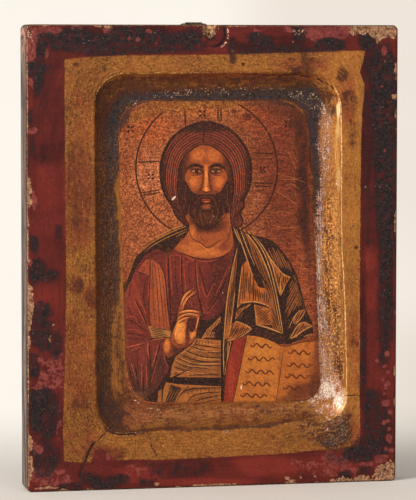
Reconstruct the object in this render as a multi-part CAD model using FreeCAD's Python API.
import FreeCAD, Part
import math
import os

from FreeCAD import Vector

# A small devotional icon: a carved wooden panel with a coved recess, its chalk ground,
# the picture sheet on the recess floor, two dovetailed battens and a hanger at the back.
# Lengths are in millimetres. X runs across, the front faces -Y, +Z is up, and the origin is
# the middle of the bottom edge.

# Panel over all, with its ground
panel_width = 180.0
panel_height = 220.0
panel_thickness = 18.0
panel_corner_radius = 2.5
arris_radius = 1.0
ground_thickness = 0.8

# Border from the panel's edges to the corners of the recess rim, which is cut by hand
border_left_high = 32.4
border_left_low = 33.3
border_right_high = 28.5
border_right_low = 24.3
border_top_left = 23.0
border_top_right = 22.2
border_bottom_left = 26.4
border_bottom_right = 31.2
rim_radius_top_left = 14.5
rim_radius_top_right = 18.0
rim_radius_bottom_right = 11.0
rim_radius_bottom_left = 13.5

# Recess: how deep it is, and how far the cove runs in from the rim at each corner
recess_depth = 6.0
cove_left_high = 11.2
cove_left_low = 14.4
cove_right_high = 13.5
cove_right_low = 10.8
cove_top_left = 12.1
cove_top_right = 13.1
cove_bottom_left = 12.0
cove_bottom_right = 7.2
floor_radius_top_left = 15.0
floor_radius_top_right = 16.0
floor_radius_bottom_right = 10.0
floor_radius_bottom_left = 15.0
cove_start_deg = 20.0
cove_steps = 9
gouge_steps = 4

# Picture sheet, glued to the recess floor
sheet_thickness = 0.3
sheet_margin = 1.0

# Battens: tapered dovetails, driven in from the side and stopped short of the other one
batten_face_wide = 20.0
batten_face_narrow = 18.0
batten_flank_deg = 14.0
batten_let_in = 4.5
batten_proud = 2.5
batten_edge_round = 0.8
batten_stop = 14.0
batten_low_centre = 44.0
batten_high_centre = 46.0
batten_fit = 0.1

# Hanger: a D ring in a folded strap, nailed to the back at the top edge
hanger_offset = -6.0
hanger_rise = 0.1
ring_wire_radius = 0.75
ring_width = 13.0
ring_straight = 1.0
ring_bend_radius = 1.6
ring_running_gap = 0.08
ring_leaf_gap = 0.15
strap_sheet = 0.4
strap_leaf_gap = 0.05
strap_width = 8.0
strap_length = 21.0
strap_neck_radius = 0.9
nail_first = 13.2
nail_pitch = 4.2
nail_shank_radius = 0.65
nail_head_radius = 1.5
nail_head_height = 0.7
nail_length = 9.5
nail_point_length = 1.6
nail_tip_radius = 0.1
nail_hole_gap = 0.1
nail_wood_gap = 0.02

# Old damage: the eye of an earlier hanger broke out of the top edge, and its ring left a dent
breakout_offset = -2.4
breakout_mouth_radius = 3.8
breakout_depth = 6.4
breakout_tip_radius = 0.7
breakout_setback = 0.9
dent_offset = -1.2
dent_drop = 3.8
dent_radius = 7.2
dent_groove_radius = 0.9
dent_depth = 0.4
dent_start_deg = -95.0
dent_sweep_deg = 118.0

overrun = 5.0

# Worked out from the sizes above
front = -panel_thickness / 2
back = panel_thickness / 2
wood_front = front + ground_thickness
floor_y = front + recess_depth
strap_face = back + 2 * strap_sheet + strap_leaf_gap
barrel_inner = ring_wire_radius + ring_running_gap
barrel_outer = barrel_inner + strap_sheet
hinge_y = strap_face + ring_leaf_gap + ring_wire_radius
hinge_z = panel_height + hanger_rise

# Corners are listed from the top left round to the bottom left. Each has its outward signs.
corner_signs = [(-1, 1), (1, 1), (1, -1), (-1, -1)]

rim_corners = [
    (-panel_width / 2 + border_left_high, panel_height - border_top_left),
    (panel_width / 2 - border_right_high, panel_height - border_top_right),
    (panel_width / 2 - border_right_low, border_bottom_right),
    (-panel_width / 2 + border_left_low, border_bottom_left),
]
cove_insets = [
    (cove_left_high, cove_top_left),
    (cove_right_high, cove_top_right),
    (cove_right_low, cove_bottom_right),
    (cove_left_low, cove_bottom_left),
]
rim_radii = [rim_radius_top_left, rim_radius_top_right, rim_radius_bottom_right, rim_radius_bottom_left]
floor_radii = [
    floor_radius_top_left,
    floor_radius_top_right,
    floor_radius_bottom_right,
    floor_radius_bottom_left,
]


def moved_out(corners, amount):
    """The same corners, each moved outwards across and up by the amount."""
    return [(x + sx * amount, z + sz * amount) for (x, z), (sx, sz) in zip(corners, corner_signs)]


def floor_corners():
    return [
        (x - sx * dx, z - sz * dz)
        for (x, z), (sx, sz), (dx, dz) in zip(rim_corners, corner_signs, cove_insets)
    ]


def rounded_outline(corners, radii, y):
    """A closed wire at depth y: straight sides between the corners, each corner an arc."""
    points = [Vector(x, y, z) for x, z in corners]
    arcs = []
    for i, point in enumerate(points):
        before = (points[i - 1] - point).normalize()
        after = (points[(i + 1) % len(points)] - point).normalize()
        half = before.getAngle(after) / 2
        middle = (before + after).normalize()
        radius = radii[i]
        centre = point + middle * (radius / math.sin(half))
        reach = radius / math.tan(half)
        arcs.append((point + before * reach, centre - middle * radius, point + after * reach))
    edges = []
    for i, (start, through, end) in enumerate(arcs):
        edges.append(Part.Arc(start, through, end).toShape())
        edges.append(Part.LineSegment(end, arcs[(i + 1) % len(arcs)][0]).toShape())
    return Part.Wire(edges)


def slab(outline, depth):
    """A flat slab from an outline towards the back."""
    return Part.Face(outline).extrude(Vector(0, depth, 0))


def recess_hollow(grow, shift, steps):
    """The recess as a solid: a ruled loft that follows the cove, and the space in front of it."""
    start = math.radians(cove_start_deg)
    sections = []
    for i in range(steps + 1):
        angle = start + (math.pi / 2 - start) * i / steps
        inward = 1 - math.cos(angle) / math.cos(start)
        down = (math.sin(angle) - math.sin(start)) / (1 - math.sin(start))
        corners = [
            (rx + (fx - rx) * inward, rz + (fz - rz) * inward)
            for (rx, rz), (fx, fz) in zip(rim_corners, floor_corners())
        ]
        radii = [r + (f - r) * inward + grow for r, f in zip(rim_radii, floor_radii)]
        depth = front + shift + recess_depth * down
        sections.append(rounded_outline(moved_out(corners, grow), radii, depth))
    hollow = Part.makeLoft(sections, True, True)
    mouth = slab(sections[0], -overrun)
    return hollow, mouth


def carved_hollow():
    """The recess that the carver cuts in the wood, larger than the finished one by the ground."""
    return recess_hollow(ground_thickness, ground_thickness, gouge_steps)


def finished_hollow():
    """The recess as it shows, smoothed with the ground."""
    return recess_hollow(0, 0, cove_steps)


def whole_panel():
    """The panel's outer block, its corners and arrises rounded by wear."""
    half = panel_width / 2
    corners = [(-half, panel_height), (half, panel_height), (half, 0), (-half, 0)]
    block = slab(rounded_outline(corners, [panel_corner_radius] * 4, front), panel_thickness)
    rounded = [edge for edge in block.Edges if abs(edge.Vertexes[0].Y - edge.Vertexes[-1].Y) < arris_radius]
    return block.makeFillet(arris_radius, rounded)


def ground_zone():
    """The space of the ground's flat coat, a little wider than the panel."""
    return Part.makeBox(
        panel_width + 2 * overrun,
        ground_thickness + overrun,
        panel_height + 2 * overrun,
        Vector(-panel_width / 2 - overrun, front - overrun, -overrun),
    )


def breakout():
    """The pit that the old hanger's eye tore out of the top edge, open to the front."""
    depth = breakout_depth
    slope = (breakout_mouth_radius - breakout_tip_radius) / depth
    return Part.makeCone(
        breakout_tip_radius,
        breakout_mouth_radius + slope * overrun,
        depth + overrun,
        Vector(breakout_offset, front + breakout_setback, panel_height - depth),
        Vector(0, 0, 1),
    )


def round_bar_arc(bar_radius, bend_radius, x, z, start_deg, sweep_deg):
    """A bent round bar in the plane y = 0, its angles measured from +X towards +Z."""
    arc = Part.makeTorus(
        bend_radius,
        bar_radius,
        Vector(0, 0, 0),
        Vector(0, 0, 1),
        -180,
        180,
        sweep_deg,
    )
    arc.rotate(Vector(0, 0, 0), Vector(0, 0, 1), start_deg)
    arc.rotate(Vector(0, 0, 0), Vector(1, 0, 0), 90)
    arc.translate(Vector(x, 0, z))
    return arc


def ring_dent():
    """The part of a ring's round print that shows in the ground below the broken pit."""
    dent = round_bar_arc(
        dent_groove_radius,
        dent_radius,
        dent_offset,
        panel_height - dent_drop,
        dent_start_deg,
        dent_sweep_deg,
    )
    dent.translate(Vector(0, front + dent_depth - dent_groove_radius, 0))
    return dent


def batten_blank(gap):
    """A tapered dovetail bar, thicker by the gap, centred on z = 0.

    Its outline is wide in the wood and narrow at the panel's back. Each half is drawn out
    towards the closed end and slants in, so all faces are flat.
    """
    half = batten_face_wide / 2 + gap
    inner = back - batten_let_in - gap
    outer = back + batten_proud
    spread = batten_let_in * math.tan(math.radians(batten_flank_deg))
    taper = (batten_face_wide - batten_face_narrow) / 2
    length = panel_width - batten_stop + gap
    halves = []
    for side in (-1, 1):
        outline = [
            (inner, 0),
            (inner, side * (half + spread)),
            (back, side * half),
            (outer, side * half),
            (outer, 0),
        ]
        points = [Vector(panel_width / 2, y, z) for y, z in outline]
        end = Part.Face(Part.makePolygon(points + points[:1]))
        halves.append(end.extrude(Vector(-length, 0, -side * taper)))
    return halves[0].fuse(halves[1]).removeSplitter()


def batten(centre):
    """One batten, its long outer edges and its closed end eased."""
    bar = batten_blank(0)
    outer = back + batten_proud
    eased = []
    for edge in bar.Edges:
        on_face = all(abs(v.Y - outer) < batten_edge_round / 2 for v in edge.Vertexes)
        long_or_closed = edge.CenterOfMass.x < panel_width / 2 - batten_edge_round
        if on_face and long_or_closed:
            eased.append(edge)
    bar = bar.makeFillet(batten_edge_round, eased)
    bar.translate(Vector(0, 0, centre))
    return bar


def batten_centres():
    return {"batten_lower": batten_low_centre, "batten_upper": panel_height - batten_high_centre}


def nail_places():
    return [hinge_z - nail_first, hinge_z - nail_first - nail_pitch]


def nail_tool(radius, depth, height):
    """A round bar into the back of the panel at one nail's place."""
    return Part.makeCylinder(radius, depth, Vector(hanger_offset, strap_face, height), Vector(0, -1, 0))


def board():
    """The carved wooden panel under its ground, with housings for the battens and nails."""
    hollow, mouth = carved_hollow()
    cuts = [ground_zone(), hollow, mouth, breakout()]
    for centre in batten_centres().values():
        housing = batten_blank(batten_fit)
        housing.translate(Vector(0, 0, centre))
        cuts.append(housing)
    depth = nail_length + strap_face - back
    for height in nail_places():
        cuts.append(nail_tool(nail_shank_radius + nail_wood_gap, depth, height))
    return whole_panel().cut(cuts)


def chalk_ground():
    """The ground: a coat on the front that follows the cove down over the recess floor."""
    coat = whole_panel().common(ground_zone()).fuse(carved_hollow()[0])
    hollow, mouth = finished_hollow()
    return coat.cut([hollow, mouth, breakout(), ring_dent()]).removeSplitter()


def picture_sheet():
    """The picture's carrier, a stiff sheet just inside the edge of the recess floor."""
    corners = moved_out(floor_corners(), -sheet_margin)
    radii = [radius - sheet_margin for radius in floor_radii]
    return slab(rounded_outline(corners, radii, floor_y - sheet_thickness), sheet_thickness)


def straight_wire(x, z, length, direction):
    return Part.makeCylinder(ring_wire_radius, length, Vector(x, 0, z), direction)


def hanger_ring():
    """A D ring of round wire: a straight bar on the hinge, two tight bends and a round bow."""
    half = ring_width / 2
    bend = ring_bend_radius
    bow_z = -bend - ring_straight
    bar = straight_wire(-half + bend, 0, ring_width - 2 * bend, Vector(1, 0, 0))
    rest = [
        round_bar_arc(ring_wire_radius, bend, half - bend, -bend, 0, 90),
        round_bar_arc(ring_wire_radius, bend, -half + bend, -bend, 90, 90),
        straight_wire(half, bow_z, ring_straight, Vector(0, 0, 1)),
        straight_wire(-half, bow_z, ring_straight, Vector(0, 0, 1)),
        round_bar_arc(ring_wire_radius, half, 0, bow_z, 180, 180),
    ]
    ring = bar.fuse(rest)
    ring.translate(Vector(hanger_offset, hinge_y, hinge_z))
    return ring


def strip_prism(points):
    """A prism as long as the strap is wide, from a closed outline of (depth, height) points."""
    corners = [Vector(0, y, z) for y, z in points]
    return Part.Face(Part.makePolygon(corners + corners[:1])).extrude(Vector(strap_width, 0, 0))


def strap_profile():
    """The folded strip seen from the side: two leaves, a neck on each, and the barrel."""
    low = hinge_z - strap_length
    neck = hinge_z - barrel_outer - strap_neck_radius
    slit_front = back + strap_sheet
    slit_back = slit_front + strap_leaf_gap
    outside = hinge_y + barrel_outer
    leaves = strip_prism([(back, low), (strap_face, low), (strap_face, neck), (back, neck)])
    throat = strip_prism([
        (back, neck),
        (outside, neck),
        (outside, hinge_z),
        (hinge_y - barrel_outer, hinge_z),
    ])
    hollow = outside - strap_face
    neck_cut = Part.makeCylinder(hollow, strap_width, Vector(0, outside, neck), Vector(1, 0, 0))
    barrel = Part.makeCylinder(barrel_outer, strap_width, Vector(0, hinge_y, hinge_z), Vector(1, 0, 0))
    strip = throat.cut(neck_cut).fuse([leaves, barrel])
    eye = Part.makeCylinder(barrel_inner, strap_width, Vector(0, hinge_y, hinge_z), Vector(1, 0, 0))
    slit = strip_prism([
        (slit_front, low),
        (slit_back, low),
        (slit_back, neck),
        (hinge_y + strap_leaf_gap, hinge_z),
        (hinge_y, hinge_z),
        (slit_front, neck),
    ])
    return strip.cut([eye, slit])


def hanger_strap():
    """The strap: the folded strip, its lower end round, with a hole for each nail."""
    strip = strap_profile()
    strip.translate(Vector(hanger_offset - strap_width / 2, 0, 0))
    half = strap_width / 2
    low = hinge_z - strap_length
    shoulder = low + half
    high = hinge_z + barrel_outer
    left = Vector(hanger_offset - half, back, 0)
    edges = [
        Part.Arc(
            left + Vector(0, 0, shoulder),
            left + Vector(half, 0, low),
            left + Vector(strap_width, 0, shoulder),
        ).toShape(),
        Part.makeLine(left + Vector(strap_width, 0, shoulder), left + Vector(strap_width, 0, high)),
        Part.makeLine(left + Vector(strap_width, 0, high), left + Vector(0, 0, high)),
        Part.makeLine(left + Vector(0, 0, high), left + Vector(0, 0, shoulder)),
    ]
    keep = Part.Face(Part.Wire(edges)).extrude(Vector(0, hinge_y + barrel_outer - back, 0))
    holes = [nail_tool(nail_shank_radius + nail_hole_gap, nail_length, z) for z in nail_places()]
    return strip.common(keep).cut(holes)


def nail(height):
    """A round-headed nail, its domed head on the strap and its point in the wood."""
    ball = (nail_head_radius ** 2 + nail_head_height ** 2) / (2 * nail_head_height)
    point_start = nail_length - nail_point_length
    into = Vector(0, -1, 0)
    shank = Part.makeCylinder(nail_shank_radius, point_start, Vector(0, 0, 0), into)
    point = Part.makeCone(
        nail_shank_radius,
        nail_tip_radius,
        nail_point_length,
        Vector(0, -point_start, 0),
        into,
    )
    block = Part.makeCylinder(2 * nail_head_radius, nail_head_height, Vector(0, 0, 0), -into)
    dome = Part.makeSphere(ball, Vector(0, nail_head_height - ball, 0)).common(block)
    solid = dome.fuse([shank, point])
    solid.translate(Vector(hanger_offset, strap_face, height))
    return solid


def hanger_nails():
    return Part.makeCompound([nail(height) for height in nail_places()])


def write(name, shape):
    """Writes one node and prints its solids and volume."""
    if len(shape.Solids) == 1:
        shape = shape.Solids[0]
    shape.exportStep("parts/" + name + ".step")
    print(name, len(shape.Solids), round(shape.Volume, 2), shape.isValid())


def main():
    os.makedirs("parts", exist_ok=True)
    write("board", board())
    write("chalk_ground", chalk_ground())
    write("picture_sheet", picture_sheet())
    for name, centre in batten_centres().items():
        write(name, batten(centre))
    write("hanger_strap", hanger_strap())
    write("hanger_ring", hanger_ring())
    write("hanger_nails", hanger_nails())


main()
